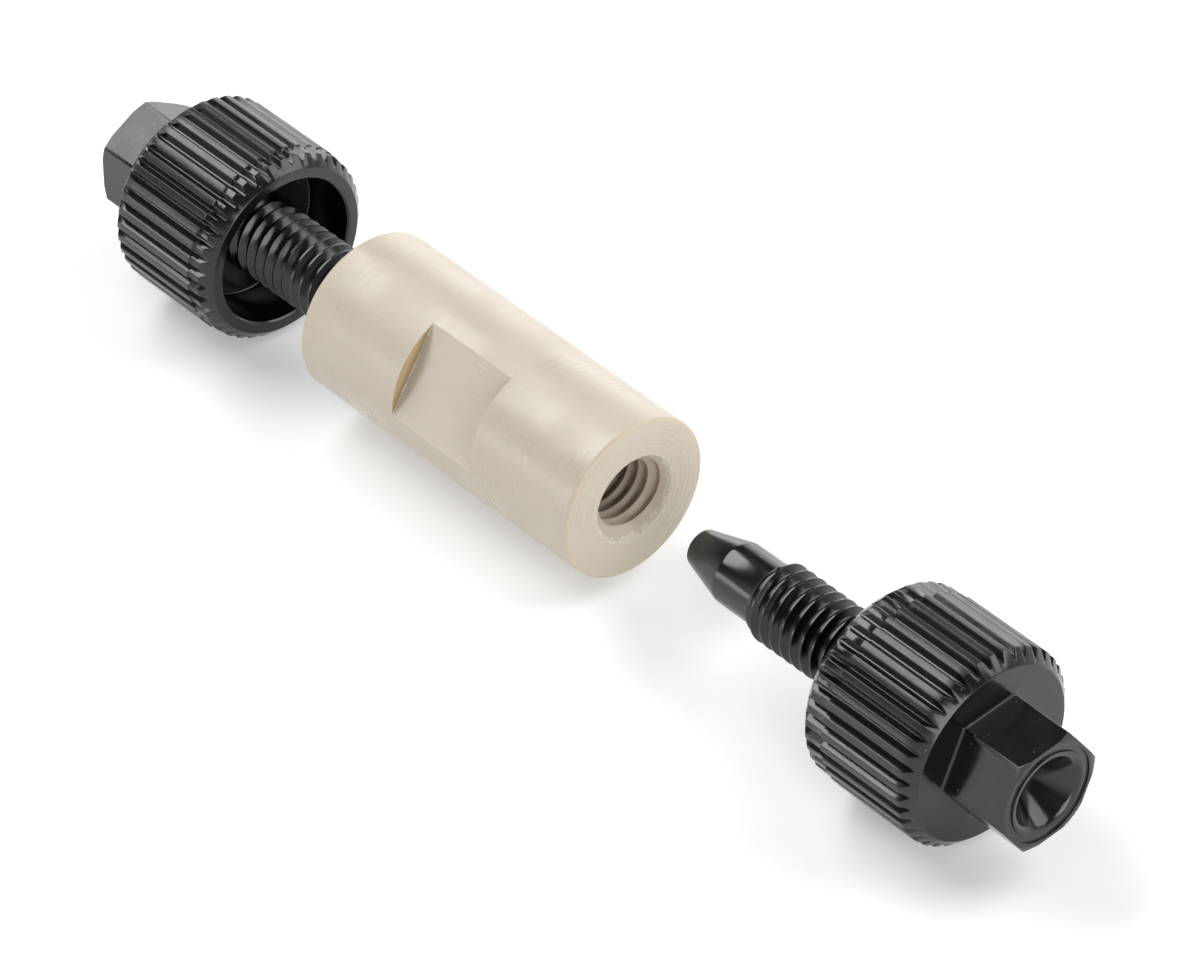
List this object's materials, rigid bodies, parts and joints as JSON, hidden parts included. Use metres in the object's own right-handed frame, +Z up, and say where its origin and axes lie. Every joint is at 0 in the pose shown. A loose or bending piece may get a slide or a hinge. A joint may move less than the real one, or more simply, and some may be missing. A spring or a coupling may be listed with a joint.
{
  "type": "finger-tight tubing union",
  "caption": "Cylindrical tubing union with coned threaded ports and two knurled one-piece fittings, one started in its port and one drawn out in line.",
  "frame": {"origin": "centre of the row's box at the surface that both knurled heads rest on", "axes": "+X along the common axis of the union and both fittings, towards the loose right fitting; +Z up"},
  "size_m": [0.076, 0.0122, 0.0122],
  "materials": {
    "union_body": "turned, fine lathe lines",
    "fitting": "moulded, black"
  },
  "bodies": {
    "union_body": {"union_body": "union_body"},
    "left_fitting": {"left_fitting": "fitting"},
    "right_fitting": {"right_fitting": "fitting"}
  },
  "joints": [
    {"name": "left_screw", "type": "slide", "parent": "union_body", "child": "left_fitting", "axis": [1, 0, 0], "range_m": [-0.0124, 0.00325]},
    {"name": "right_screw", "type": "slide", "parent": "union_body", "child": "right_fitting", "axis": [-1, 0, 0], "range_m": [-0.02, 0.01565]}
  ]
}
